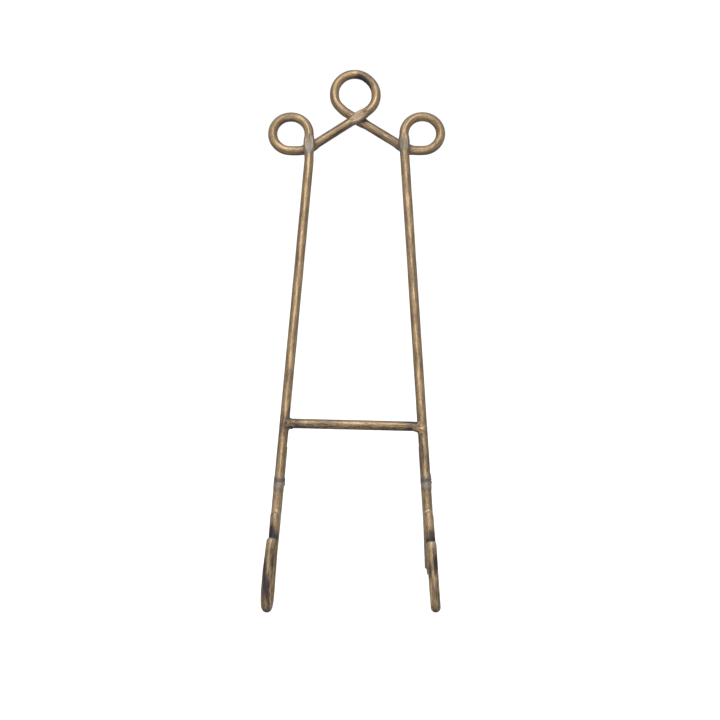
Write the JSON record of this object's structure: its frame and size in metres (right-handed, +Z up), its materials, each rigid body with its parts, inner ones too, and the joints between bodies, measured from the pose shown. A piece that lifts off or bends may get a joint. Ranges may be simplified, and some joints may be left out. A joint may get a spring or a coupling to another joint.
{
  "type": "display easel",
  "caption": "Tabletop display easel of bent and welded round bar: leaning front frame with looped top, cross bar, J-shaped hooks in front and bent legs behind.",
  "frame": {"origin": "middle of the bottom of the whole object's box, on the table", "axes": "+X to the right seen from the front, +Y towards the back, +Z up; the front with the hooks faces -Y"},
  "size_m": [0.1226, 0.1748, 0.3425],
  "materials": {
    "antique_brass": "satin antique brass, rubbed to gold on the high spots, dark brown patina in the low ones",
    "weld": "rough weld metal under the same antique brass finish, greyer"
  },
  "bodies": {
    "root": {"crossbar": "antique_brass", "crossbar_weld_left": "weld", "crossbar_weld_right": "weld", "crown_weld": "weld", "front_frame": "antique_brass", "hook_left": "antique_brass", "hook_right": "antique_brass", "hook_weld_left": "weld", "hook_weld_right": "weld", "loop_weld_left": "weld", "loop_weld_right": "weld", "rail_end_weld_left": "weld", "rail_end_weld_right": "weld", "rear_leg_left": "antique_brass", "rear_leg_right": "antique_brass", "rear_leg_weld_left": "weld", "rear_leg_weld_right": "weld"}
  },
  "joints": []
}
